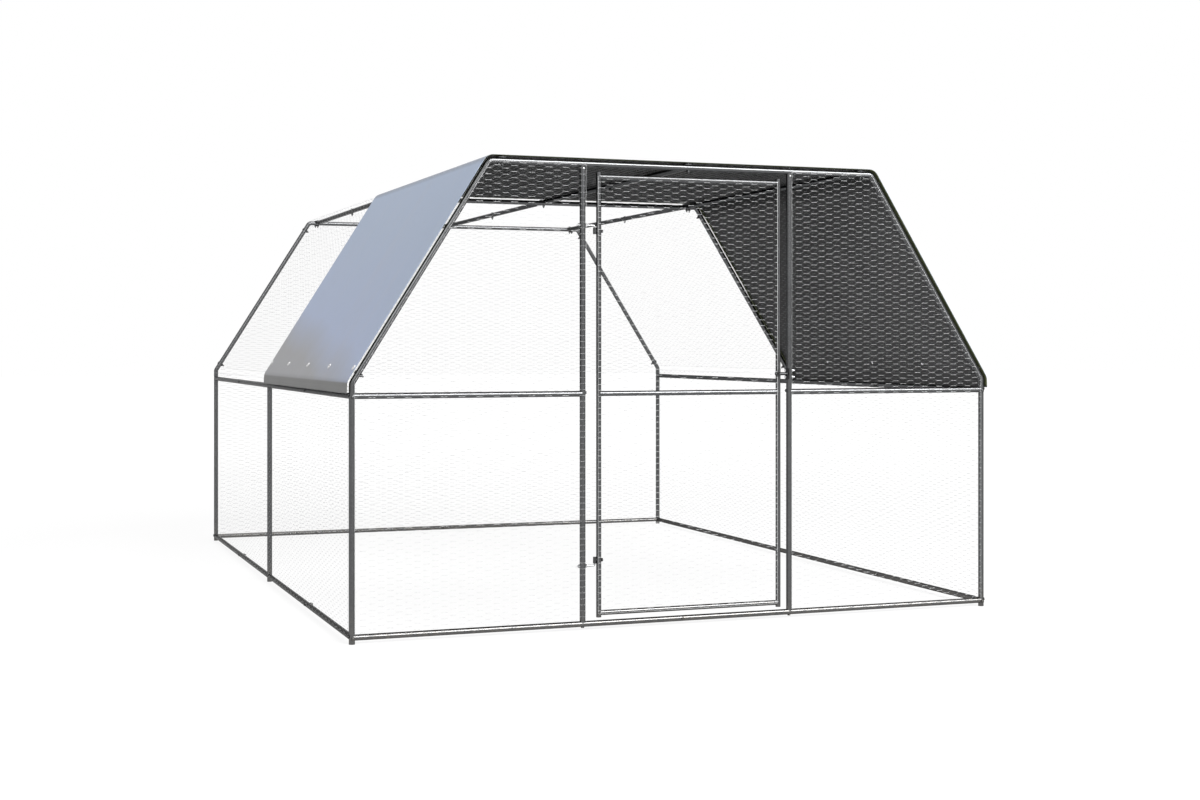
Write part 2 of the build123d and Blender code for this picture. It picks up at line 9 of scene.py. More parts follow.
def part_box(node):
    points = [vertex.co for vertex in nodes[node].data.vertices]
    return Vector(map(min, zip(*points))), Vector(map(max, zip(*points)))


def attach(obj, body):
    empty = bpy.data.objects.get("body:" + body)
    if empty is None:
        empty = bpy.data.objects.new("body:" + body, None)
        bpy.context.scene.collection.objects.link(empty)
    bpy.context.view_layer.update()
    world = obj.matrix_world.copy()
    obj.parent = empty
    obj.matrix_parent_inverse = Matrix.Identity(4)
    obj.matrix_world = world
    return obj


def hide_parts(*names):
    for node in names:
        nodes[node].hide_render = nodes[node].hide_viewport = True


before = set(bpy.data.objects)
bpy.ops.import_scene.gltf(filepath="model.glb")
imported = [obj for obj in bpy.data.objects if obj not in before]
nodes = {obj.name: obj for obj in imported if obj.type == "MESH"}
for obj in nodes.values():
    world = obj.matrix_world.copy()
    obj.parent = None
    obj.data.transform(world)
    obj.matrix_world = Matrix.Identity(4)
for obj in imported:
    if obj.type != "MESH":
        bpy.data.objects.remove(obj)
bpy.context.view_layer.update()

# Hexagonal netting, in metres
twist_wire_radius = 0.00043
single_wire_radius = 0.00010
strand_spread = 0.00075
strand_depth = 0.00035
twist_rise = 0.0255
column_step = 0.038
half_twist = 0.0125
taper_share = 0.12
edge_wire_radius = 0.0004
twist_wander = 0.00012
rear_gauge = 0.9
wall_gauge = 0.9
slope_gauge = 0.8
roof_gauge = 0.5
past_gauge = 0.5
post_cover = 0.0195
stile_cover = 0.0150
net_side_tolerance = 0.001
net_meeting_tolerance = 0.0005
net_corner_turn = 0.02
net_level_tilt = 0.01
least_fall = 1e-12
shortest_span_share = 0.02

# Cover over the front bay
cover_thickness = 0.0012
cloth_thickness = 0.0009
cloth_step = 0.03
cloth_bend_step = 0.008
cloth_knee_step = 0.01
hem_width = 0.028
hem_rise = 0.0008
hem_step = 0.007
hem_shoulder = 0.0006
hem_wave = 0.0012
hem_wave_length = 0.48
hem_wave_drift = 0.7
hem_drift_rate = 5
billow = 0.003
tuck_depth = 0.014
tuck_reach = 0.3
tuck_slope_share = 0.62
tuck_ramp = 5
edge_tape_width = 0.03
edge_tape_thickness = 0.0012
edge_tape_setback = 0.0006
edge_tape_gap = 0.0003
eyelet_rise = 0.066
eyelet_hole = 0.0062
eyelet_ring = 0.0132
eyelets_per_side = 5
eyelet_end_margin = 0.027
eyelet_sides = 28
eyelet_grid_reach = 0.015
eyelet_grid_step = 0.003
eyelet_grid_margin = 0.004
pucker_height = 0.0007
pucker_reach = 0.12
pucker_spread = 0.004

# Bolts
bolt_across_flats = 0.013
bolt_head_height = 0.004
bolt_nut_height = 0.0065
bolt_tail_length = 0.009
bolt_thread_radius = 0.004
bolt_thread_pitch = 0.00125
bolt_thread_root = 0.86
bolt_thread_end = 0.8
bolt_thread_sides = 12
bolt_chamfer_circle = 0.96
bolt_chamfer_angle = math.radians(30)
bolt_points = 24
bolt_bearing_gap = 0.0001
bolt_tail_overlap = 0.001
bolt_mate_nearest = 0.004
bolt_mate_farthest = 0.06
bolt_mate_aside = 0.003
low_head_height = 0.0026
joint_bolt_inset = 0.040
top_bolt_inset = 0.026
splice_least_lap = 0.03
screw_head_radius = 0.0045
screw_head_height = 0.0032
screw_drop = 0.0075
screw_sides = 20

# Tubes
tube_radius = 0.0125
tube_end_depth = 0.002


# Reading the frame

def node_points(name):
    mesh = nodes[name].data
    points = np.empty(len(mesh.vertices) * 3)
    mesh.vertices.foreach_get("co", points)
    return points.reshape(-1, 3)


def tube_axis(name):
    # Middle points of a straight tube's two ends
    points = node_points(name)
    middle = points.mean(axis=0)
    direction = np.linalg.svd(points - middle, full_matrices=False)[2][0]
    along = (points - middle) @ direction
    ends = []
    for limit in (along.min(), along.max()):
        ring = points[np.abs(along - limit) < tube_end_depth]
        ends.append((ring.min(axis=0) + ring.max(axis=0)) / 2)
    return ends


def islands(name):
    # Vertex groups of a node's separate solids
    mesh = nodes[name].data
    points = node_points(name)
    keys = {}
    parent = []
    same = []
    for point in points:
        key = tuple(np.round(point, 6))
        if key not in keys:
            keys[key] = len(parent)
            parent.append(len(parent))
        same.append(keys[key])

    def root(i):
        while parent[i] != i:
            parent[i] = parent[parent[i]]
            i = parent[i]
        return i

    for edge in mesh.edges:
        a = root(same[edge.vertices[0]])
        b = root(same[edge.vertices[1]])
        if a != b:
            parent[a] = b
    groups = {}
    for i, point in enumerate(points):
        groups.setdefault(root(same[i]), []).append(point)
    return [np.array(group) for group in groups.values()]


# Making meshes

def make_piece(name, points, faces, materials, body, smooth=True, face_materials=None):
    mesh = bpy.data.meshes.new(name)
    points = np.asarray(points, dtype=np.float32)
    faces = np.asarray(faces, dtype=np.int32)
    sides = faces.shape[1]
    mesh.vertices.add(len(points))
    mesh.vertices.foreach_set("co", points.ravel())
    mesh.loops.add(faces.size)
    mesh.polygons.add(len(faces))
    mesh.polygons.foreach_set("loop_start", np.arange(0, faces.size, sides, dtype=np.int32))
    mesh.polygons.foreach_set("vertices", faces.ravel())
    for material in materials:
        mesh.materials.append(material)
    if face_materials is not None:
        mesh.polygons.foreach_set("material_index", np.asarray(face_materials, dtype=np.int32))
    mesh.update(calc_edges=True)
    mesh.validate()
    if smooth:
        mesh.shade_smooth()
    piece = bpy.data.objects.new(name, mesh)
    bpy.context.scene.collection.objects.link(piece)
    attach(piece, body)
    return piece


def lay_out(piece, name, places):
    # A UV map that holds a flat place for each vertex
    corner = np.empty(len(piece.data.loops), dtype=np.int32)
    piece.data.loops.foreach_get("vertex_index", corner)
    layer = piece.data.uv_layers.new(name=name)
    layer.uv.foreach_set("vector", places[corner].astype(np.float32).ravel())


class Solids:
    # Points and four-sided faces of several small solids that make up one piece

    def __init__(self):
        self.points = []
        self.faces = []
        self.count = 0

    def add(self, points, faces):
        self.points.append(np.asarray(points, dtype=float))
        self.faces.append(np.asarray(faces, dtype=int) + self.count)
        self.count += len(points)

    def add_rings(self, rings, closed_ends=True, closed_loop=False):
        # Skin over rings that all have the same number of points
        rings = np.asarray(rings, dtype=float)
        count, sides = rings.shape[:2]
        start = np.arange(count if closed_loop else count - 1)
        around = np.arange(sides)
        a = (start[:, None] * sides + around).ravel()
        b = (start[:, None] * sides + (around + 1) % sides).ravel()
        c = (((start[:, None] + 1) % count) * sides + (around + 1) % sides).ravel()
        d = (((start[:, None] + 1) % count) * sides + around).ravel()
        points = rings.reshape(-1, 3)
        faces = np.stack([a, b, c, d], axis=1)
        if closed_ends and not closed_loop:
            low = len(points)
            points = np.vstack([points, rings[0].mean(axis=0), rings[-1].mean(axis=0)])
            pairs = np.arange(0, sides, 2)
            first = np.stack([np.full(len(pairs), low), (pairs + 2) % sides, pairs + 1, pairs], axis=1)
            top = (count - 1) * sides
            last = np.stack([np.full(len(pairs), low + 1), top + pairs, top + pairs + 1,
                             top + (pairs + 2) % sides], axis=1)
            faces = np.vstack([faces, first, last])
        self.add(points, faces)

    def piece(self, name, material, body, slot, smooth=True):
        points = np.vstack(self.points)
        return make_piece(name, points, np.vstack(self.faces), [material], body, smooth)


def axes_from(direction):
    # Two unit vectors square to a direction
    direction = np.asarray(direction, dtype=float)
    direction = direction / np.linalg.norm(direction)
    helper = np.array([0.0, 0.0, 1.0]) if abs(direction[2]) < 0.9 else np.array([1.0, 0.0, 0.0])
    side = np.cross(helper, direction)
    side = side / np.linalg.norm(side)
    return direction, side, np.cross(direction, side)


def lathe_rings(seat, direction, profile, sides):
    # Rings of a turned shape: profile holds pairs of radius and height over the seat
    direction, side, other = axes_from(direction)
    angles = np.arange(sides) * 2 * math.pi / sides
    circle = np.cos(angles)[:, None] * side + np.sin(angles)[:, None] * other
    return [np.asarray(seat) + circle * radius + direction * height for radius, height in profile]


# Materials

dust_height = 0.16
dust_share = 0.45
dust_colour = (0.20, 0.18, 0.15)


def new_material(name):
    material = bpy.data.materials.new(name)
    material.use_nodes = True
    tree = material.node_tree
    tree.nodes.clear()
    output = tree.nodes.new("ShaderNodeOutputMaterial")
    shader = tree.nodes.new("ShaderNodeBsdfPrincipled")
    tree.links.new(shader.outputs["BSDF"], output.inputs["Surface"])
    return material, tree, shader


def new_group(name, inputs, outputs):
    group = bpy.data.node_groups.new(name, "ShaderNodeTree")
    for socket, kind, value in inputs:
        made = group.interface.new_socket(socket, in_out="INPUT", socket_type=kind)
        if value is not None:
            made.default_value = value
    for socket, kind in outputs:
        group.interface.new_socket(socket, in_out="OUTPUT", socket_type=kind)
    enter = group.nodes.new("NodeGroupInput")
    leave = group.nodes.new("NodeGroupOutput")
    return group, enter, leave


def object_position(tree):
    return tree.nodes.new("ShaderNodeTexCoord").outputs["Object"]


def cloth_position(tree):
    node = tree.nodes.new("ShaderNodeUVMap")
    node.uv_map = "cloth"
    return node.outputs["UV"]


def split_axes(tree, position):
    node = tree.nodes.new("ShaderNodeSeparateXYZ")
    tree.links.new(position, node.inputs["Vector"])
    return node.outputs


def noise(tree, position, scale, detail=2.0, roughness=0.5):
    node = tree.nodes.new("ShaderNodeTexNoise")
    node.inputs["Scale"].default_value = scale
    node.inputs["Detail"].default_value = detail
    node.inputs["Roughness"].default_value = roughness
    tree.links.new(position, node.inputs["Vector"])
    return node.outputs["Fac"]


def remap(tree, value, low, high, to_low=0.0, to_high=1.0):
    node = tree.nodes.new("ShaderNodeMapRange")
    node.inputs["From Min"].default_value = low
    node.inputs["From Max"].default_value = high
    node.inputs["To Min"].default_value = to_low
    node.inputs["To Max"].default_value = to_high
    tree.links.new(value, node.inputs["Value"])
    return node.outputs["Result"]


def math_node(tree, operation, first, second):
    node = tree.nodes.new("ShaderNodeMath")
    node.operation = operation
    for socket, value in zip(node.inputs, (first, second)):
        if isinstance(value, (int, float)):
            socket.default_value = value
        else:
            tree.links.new(value, socket)
    return node.outputs["Value"]


def mix_colour(tree, factor, first, second):
    node = tree.nodes.new("ShaderNodeMix")
    node.data_type = "RGBA"
    tree.links.new(factor, node.inputs["Factor"])
    for name, value in (("A", first), ("B", second)):
        socket = [s for s in node.inputs if s.name == name and s.type == "RGBA"][0]
        if isinstance(value, tuple):
            socket.default_value = (*value, 1.0)
        else:
            tree.links.new(value, socket)
    return [s for s in node.outputs if s.type == "RGBA"][0]


def make_zinc_coat():
    # Spangled zinc skin: shade from 0 to 1, dust near the ground, and fine unevenness
    group, enter, leave = new_group(
        "zinc_coat",
        [("Position", "NodeSocketVector", None), ("Spangle size", "NodeSocketFloat", 0.006)],
        [("Shade", "NodeSocketFloat"), ("Dust", "NodeSocketFloat"), ("Fine", "NodeSocketFloat")],
    )
    position = enter.outputs["Position"]
    cells = group.nodes.new("ShaderNodeTexVoronoi")
    group.links.new(position, cells.inputs["Vector"])
    group.links.new(math_node(group, "DIVIDE", 1.0, enter.outputs["Spangle size"]), cells.inputs["Scale"])
    crystal = group.nodes.new("ShaderNodeSeparateColor")
    group.links.new(cells.outputs["Color"], crystal.inputs["Color"])
    patches = noise(group, position, 9.0, 3.0)
    shade = math_node(group, "ADD", remap(group, crystal.outputs["Red"], 0, 1, 0.0, 0.55),
                      remap(group, patches, 0.3, 0.7, 0.0, 0.45))
    group.links.new(shade, leave.inputs["Shade"])
    low = remap(group, split_axes(group, position)["Z"], dust_height, 0.0)
    grit = remap(group, noise(group, position, 60.0, 4.0), 0.35, 0.7)
    group.links.new(math_node(group, "MULTIPLY", low, grit), leave.inputs["Dust"])
    group.links.new(noise(group, position, 420.0, 2.0), leave.inputs["Fine"])
    return group


def use_group(tree, group, position):
    node = tree.nodes.new("ShaderNodeGroup")
    node.node_tree = group
    tree.links.new(position, node.inputs["Position"])
    return node


def bump(tree, height, strength, distance):
    node = tree.nodes.new("ShaderNodeBump")
    node.inputs["Strength"].default_value = strength
    node.inputs["Distance"].default_value = distance
    tree.links.new(height, node.inputs["Height"])
    return node.outputs["Normal"]


def make_steel(name, dark, light, roughness, spangle, edge_tint):
    material, tree, shader = new_material(name)
    coat = use_group(tree, zinc_coat, object_position(tree))
    coat.inputs["Spangle size"].default_value = spangle
    metal = mix_colour(tree, coat.outputs["Shade"], dark, light)
    dusty = remap(tree, coat.outputs["Dust"], 0, 1, 0.0, dust_share)
    uneven = remap(tree, coat.outputs["Fine"], 0.3, 0.7, roughness - 0.04, roughness + 0.05)
    tree.links.new(mix_colour(tree, dusty, metal, dust_colour), shader.inputs["Base Color"])
    tree.links.new(uneven, shader.inputs["Roughness"])
    tree.links.new(bump(tree, coat.outputs["Shade"], 0.08, 0.0004), shader.inputs["Normal"])
    shader.inputs["Metallic"].default_value = 1.0
    shader.inputs["Specular Tint"].default_value = (edge_tint, edge_tint, edge_tint, 1.0)
    return material


zinc_coat = make_zinc_coat()
tube_steel = make_steel("galvanised_tube", dark=(0.088, 0.089, 0.091), light=(0.122, 0.124, 0.127),
                        roughness=0.24, spangle=0.006, edge_tint=0.35)
# One zinc plating in three tones: painted glint, softer painted glint and painted shade
zinc_painted_glint = make_steel("zinc_painted_glint", dark=(0.50, 0.51, 0.52), light=(0.68, 0.69, 0.70),
                         roughness=0.25, spangle=0.003, edge_tint=0.8)
zinc_painted_soft_glint = make_steel("zinc_painted_soft_glint", dark=(0.30, 0.305, 0.31), light=(0.40, 0.405, 0.41),
                        roughness=0.28, spangle=0.003, edge_tint=0.7)
zinc_painted_shade = make_steel("zinc_painted_shade", dark=(0.055, 0.056, 0.057), light=(0.085, 0.086, 0.087),
                       roughness=0.32, spangle=0.003, edge_tint=0.35)


def make_netting_wire(name, dark, light):
    material, tree, shader = new_material(name)
    position = object_position(tree)
    slow = remap(tree, noise(tree, position, 2.2, 2.0), 0.3, 0.7)
    tree.links.new(mix_colour(tree, slow, dark, light), shader.inputs["Base Color"])
    tree.links.new(remap(tree, slow, 0, 1, 0.40, 0.50), shader.inputs["Roughness"])
    shader.inputs["Metallic"].default_value = 0.15
    return material


# The same galvanised wire in a lighter copy for the front, door and roof nets and a darker copy with
# painted shade for the rear, walls and slopes
bright_wire = make_netting_wire("bright_netting_wire", dark=(0.69, 0.695, 0.70), light=(0.77, 0.775, 0.78))
wire_with_painted_shade = make_netting_wire("netting_wire_painted_shade", dark=(0.34, 0.345, 0.35), light=(0.42, 0.425, 0.43))


def make_eyelet_alloy():
    material, tree, shader = new_material("eyelet_alloy")
    worn = remap(tree, noise(tree, object_position(tree), 90.0, 3.0), 0.35, 0.7)
    alloy = mix_colour(tree, worn, (0.70, 0.70, 0.70), (0.58, 0.58, 0.59))
    tree.links.new(alloy, shader.inputs["Base Color"])
    tree.links.new(remap(tree, worn, 0, 1, 0.28, 0.42), shader.inputs["Roughness"])
    shader.inputs["Metallic"].default_value = 0.3
    return material


eyelet_alloy = make_eyelet_alloy()


# The cover's outer face pales and turns blue upwards in a painted sky reflection, greys towards its lower
# hems, has painted shade on its flap and is painted darker as shade on the roof, where it is also rougher
cover_flap_painted_shade_colour = (0.197, 0.197, 0.191)
cover_low_colour = (0.310, 0.310, 0.320)
cover_mid_painted_sky_colour = (0.352, 0.412, 0.565)
cover_top_painted_sky_colour = (0.329, 0.394, 0.513)
cover_streak_colour = (0.40, 0.40, 0.455)
cover_roof_painted_shade_colour = (0.275, 0.295, 0.335)
cover_soil_colour = (0.24, 0.24, 0.23)
cover_thread_colour = (0.62, 0.64, 0.70)

# Threads of its inner face, and grooves of the tape along its edges
inside_thread_colour = (0.13, 0.13, 0.131)
tape_groove_colour = (0.04, 0.044, 0.024)

# Heights over the ground between which one colour turns into the next
flap_fold = (1.062, 1.068)
low_to_mid = (1.10, 1.30)
mid_to_top = (1.25, 1.75)
roof_edge = (1.98, 2.005)
inside_roof_shade_edge = (1.92, 1.99)

weave_pitch = 0.0025
weave_depth = 0.0003


def make_cover_weave():
    # Woven tape pattern in cloth metres: height of the weave and a mask of the threads on top
    group, enter, leave = new_group(
        "cover_weave",
        [("Position", "NodeSocketVector", None), ("Pitch", "NodeSocketFloat", weave_pitch)],
        [("Height", "NodeSocketFloat"), ("Over", "NodeSocketFloat")],
    )
    axes = split_axes(group, enter.outputs["Position"])
    turn = math_node(group, "DIVIDE", math.pi, enter.outputs["Pitch"])
    warp = math_node(group, "SINE", math_node(group, "MULTIPLY", axes["X"], turn), 0.0)
    weft = math_node(group, "SINE", math_node(group, "MULTIPLY", axes["Y"], turn), 0.0)
    over = math_node(group, "MULTIPLY", warp, weft)
    group.links.new(remap(group, over, -1, 1), leave.inputs["Over"])
    group.links.new(math_node(group, "ABSOLUTE", over, 0.0), leave.inputs["Height"])
    return group


cover_weave = make_cover_weave()


def make_cover_outside():
    material, tree, shader = new_material("cover_outside")
    position = object_position(tree)
    axes = split_axes(tree, position)
    cloth = cloth_position(tree)
    weave = use_group(tree, cover_weave, cloth)
    # The colours, with their painted sky reflection, change at heights that drift, slant along the cage and
    # differ by side, reaching lower towards the front and on the right
    drift = remap(tree, noise(tree, position, 1.6, 3.0), 0.25, 0.75, -0.05, 0.05)
    slant = remap(tree, axes["Y"], -2.0, 0.0, 0.13, -0.13)
    sunny_side = remap(tree, axes["X"], -0.6, 0.6, 0.0, 0.25)
    height = math_node(tree, "ADD", math_node(tree, "ADD", axes["Z"], slant), drift)
    height = math_node(tree, "ADD", height, sunny_side)
    # Painted sky reflection: bluer and paler with height
    colour = mix_colour(tree, remap(tree, height, *low_to_mid), cover_low_colour, cover_mid_painted_sky_colour)
    colour = mix_colour(tree, remap(tree, height, *mid_to_top), colour, cover_top_painted_sky_colour)
    drawn_out = tree.nodes.new("ShaderNodeMapping")
    drawn_out.inputs["Scale"].default_value = (0.9, 7.0, 1.0)
    tree.links.new(cloth, drawn_out.inputs["Vector"])
    streaks = remap(tree, noise(tree, drawn_out.outputs["Vector"], 1.0, 3.0), 0.50, 0.75, 0.0, 0.22)
    colour = mix_colour(tree, streaks, colour, cover_streak_colour)
    # Painted shade: the vertical flap below the knee fold is darker
    colour = mix_colour(tree, remap(tree, axes["Z"], *flap_fold), cover_flap_painted_shade_colour, colour)
    # Painted shade: the roof is darker; the same mask also makes it rougher
    roof_painted_shade_and_dull = remap(tree, axes["Z"], *roof_edge)
    colour = mix_colour(tree, roof_painted_shade_and_dull, colour, cover_roof_painted_shade_colour)
    soiled = remap(tree, noise(tree, position, 14.0, 5.0, 0.6), 0.55, 0.8, 0.0, 0.10)
    colour = mix_colour(tree, soiled, colour, cover_soil_colour)
    threads = remap(tree, weave.outputs["Over"], 0, 1, 0.0, 0.10)
    colour = mix_colour(tree, threads, colour, cover_thread_colour)
    tree.links.new(colour, shader.inputs["Base Color"])
    dull = math_node(tree, "ADD", remap(tree, weave.outputs["Over"], 0, 1, 0.50, 0.58),
                     remap(tree, roof_painted_shade_and_dull, 0, 1, 0.0, 0.40))
    tree.links.new(dull, shader.inputs["Roughness"])
    tree.links.new(bump(tree, weave.outputs["Height"], 0.25, weave_depth), shader.inputs["Normal"])
    shader.inputs["Specular IOR Level"].default_value = 0.2
    return material


def make_cover_inside():
    material, tree, shader = new_material("cover_inside")
    position = object_position(tree)
    weave = use_group(tree, cover_weave, cloth_position(tree))
    patches = remap(tree, noise(tree, position, 3.0, 3.0), 0.3, 0.7)
    slopes = mix_colour(tree, patches, (0.130, 0.130, 0.131), (0.156, 0.156, 0.157))
    # Painted shade: the inside of the roof is much darker than the inside of the slopes
    roof = mix_colour(tree, patches, (0.056, 0.056, 0.057), (0.070, 0.070, 0.071))
    high = remap(tree, split_axes(tree, position)["Z"], *inside_roof_shade_edge)
    threads = remap(tree, weave.outputs["Over"], 0, 1, 0.0, 0.25)
    colour = mix_colour(tree, threads, mix_colour(tree, high, slopes, roof), inside_thread_colour)
    tree.links.new(colour, shader.inputs["Base Color"])
    tree.links.new(remap(tree, patches, 0, 1, 0.75, 0.85), shader.inputs["Roughness"])
    tree.links.new(bump(tree, weave.outputs["Height"], 0.25, weave_depth), shader.inputs["Normal"])
    shader.inputs["Specular IOR Level"].default_value = 0.0
    return material


def make_edge_tape():
    material, tree, shader = new_material("olive_edge_tape")
    position = object_position(tree)
    ribs = tree.nodes.new("ShaderNodeTexWave")
    ribs.inputs["Scale"].default_value = 160.0
    ribs.inputs["Distortion"].default_value = 0.6
    ribs.bands_direction = "Y"
    tree.links.new(position, ribs.inputs["Vector"])
    fade = remap(tree, noise(tree, position, 6.0, 3.0), 0.3, 0.7)
    colour = mix_colour(tree, fade, (0.075, 0.084, 0.040), (0.105, 0.115, 0.060))
    grooves = remap(tree, ribs.outputs["Fac"], 0, 1, 0.0, 0.3)
    tree.links.new(mix_colour(tree, grooves, colour, tape_groove_colour), shader.inputs["Base Color"])
    tree.links.new(bump(tree, ribs.outputs["Fac"], 0.3, 0.0004), shader.inputs["Normal"])
    shader.inputs["Roughness"].default_value = 0.8
    shader.inputs["Specular IOR Level"].default_value = 0.1
    return material


cover_outside = make_cover_outside()
cover_inside = make_cover_inside()
olive_edge_tape = make_edge_tape()


# Netting

def net_plane(name):
    # Origin, level direction, rising direction, outward normal and outline of a net panel
    points = node_points(name)
    middle = (points.min(axis=0) + points.max(axis=0)) / 2
    normal = np.linalg.svd(points - points.mean(axis=0), full_matrices=False)[2][2]
    if normal @ (middle - np.array([0.0, 0.0, 1.0])) < 0:
        normal = -normal
    level = np.cross([0.0, 0.0, 1.0], normal)
    if np.linalg.norm(level) < net_level_tilt:
        level = np.array([1.0, 0.0, 0.0])
    level = level / np.linalg.norm(level)
    rising = np.cross(normal, level)
    flat = np.stack([(points - middle) @ level, (points - middle) @ rising], axis=1)
    flat = np.unique(np.round(flat, 4), axis=0)
    hull = flat[convex_hull_2d([tuple(p) for p in flat])]
    if np.cross(hull[1] - hull[0], hull[2] - hull[1]) < 0:
        hull = hull[::-1]
    corners = []
    for i, corner in enumerate(hull):
        before = corner - hull[i - 1]
        after = hull[(i + 1) % len(hull)] - corner
        sharp = net_corner_turn * np.linalg.norm(before) * np.linalg.norm(after)
        if abs(np.cross(before, after)) > sharp:
            corners.append(corner)
    return middle, level, rising, normal, np.array(corners)


def clip_spans(starts, ends, outline):
    # Shares of each straight span that lie inside a convex outline
    enter = np.zeros(len(starts))
    leave = np.ones(len(starts))
    for i, corner in enumerate(outline):
        edge = outline[(i + 1) % len(outline)] - corner
        inward = np.array([-edge[1], edge[0]]) / np.linalg.norm(edge)
        at_start = (starts - corner) @ inward
        at_end = (ends - corner) @ inward
        fall = at_start - at_end
        share = at_start / np.where(np.abs(fall) < least_fall, least_fall, fall)
        enter = np.where((at_start < 0) & (at_end >= 0), np.maximum(enter, share), enter)
        leave = np.where((at_start >= 0) & (at_end < 0), np.minimum(leave, share), leave)
        leave = np.where((at_start < 0) & (at_end < 0), -1.0, leave)
    return enter, leave


def twisted_wires(outline, seed, gauge, own_sides):
    # Rings of three points in panel coordinates, their middles, and the spans that join them
    low = outline.min(axis=0)
    high = outline.max(axis=0)
    lane_step = twist_rise / 2
    column = np.arange(math.floor(low[0] / column_step) - 1, math.ceil(high[0] / column_step) + 2)
    lane = np.arange(math.floor(low[1] / lane_step) - 2, math.ceil(high[1] / lane_step) + 3)
    columns, lanes = np.meshgrid(column, lane, indexing="ij")
    rises = (columns + lanes) % 2 == 0
    side = np.where(rises, 1.0, -1.0)
    wander = np.random.default_rng(seed).normal(0.0, twist_wander, (len(column), len(lane) + 1, 2))
    pair = np.where(rises, lanes, lanes - 1) - lane[0] + 1
    shift = wander[columns - column[0], pair]
    across = columns * column_step + shift[..., 0]
    up = (lanes + 0.5 * side) * lane_step + shift[..., 1]
    starts = np.stack([across - half_twist, up - side * strand_spread, side * strand_depth], axis=-1)
    ends = np.stack([across + half_twist, up + side * strand_spread, side * strand_depth], axis=-1)
    run = np.array([column_step - 2 * half_twist, lane_step - 2 * strand_spread])
    taper = np.stack([np.full_like(side, run[0]), side * run[1], np.zeros_like(side)], axis=-1)
    taper = taper * taper_share
    middles = np.stack([starts - taper, starts, ends, ends + taper], axis=2)
    climb = math.atan2(run[1], run[0])
    lean = np.stack([side * climb, side * climb / 2, side * climb / 2, side * climb], axis=2)
    local = gauge * np.where((across < own_sides[0]) | (across > own_sides[1]), past_gauge, 1.0)
    radii = [single_wire_radius, twist_wire_radius, twist_wire_radius, single_wire_radius]
    thick = np.multiply.outer(local, radii)
    around = np.radians([90.0, 210.0, 330.0])
    width = thick[..., None] * np.cos(around)
    rings = np.stack([
        middles[..., 0:1] - np.sin(lean)[..., None] * width,
        middles[..., 1:2] + np.cos(lean)[..., None] * width,
        middles[..., 2:3] + thick[..., None] * np.sin(around),
    ], axis=-1)
    number = np.arange(columns.size).reshape(columns.shape)
    first = [number.ravel() * 4 + k for k in range(3)]
    second = [number.ravel() * 4 + k for k in range(1, 4)]
    climbing = rises[:-1, :-1]
    first.append(number[:-1, :-1][climbing] * 4 + 3)
    second.append(number[1:, 1:][climbing] * 4)
    falling = ~rises[:-1, 1:]
    first.append(number[:-1, 1:][falling] * 4 + 3)
    second.append(number[1:, :-1][falling] * 4)
    return rings.reshape(-1, 3, 3), middles.reshape(-1, 3), np.concatenate(first), np.concatenate(second)


def edge_wire(outline, radius, closed, sides=6):
    # A wire along a panel's outline, mitred at its corners and cut square at open ends
    rings = []
    angles = np.arange(sides) * 2 * math.pi / sides
    for i, corner in enumerate(outline):
        before = corner - outline[i - 1]
        after = outline[(i + 1) % len(outline)] - corner
        if not closed and i == 0:
            before = after
        if not closed and i == len(outline) - 1:
            after = before
        before = before / np.linalg.norm(before)
        after = after / np.linalg.norm(after)
        along = before + after
        along = along / np.linalg.norm(along)
        square = np.array([-along[1], along[0]]) / (along @ after)
        inner = corner + square * radius
        rings.append([[*(inner + square * radius * math.cos(a)), radius * math.sin(a)] for a in angles])
    return np.array(rings)


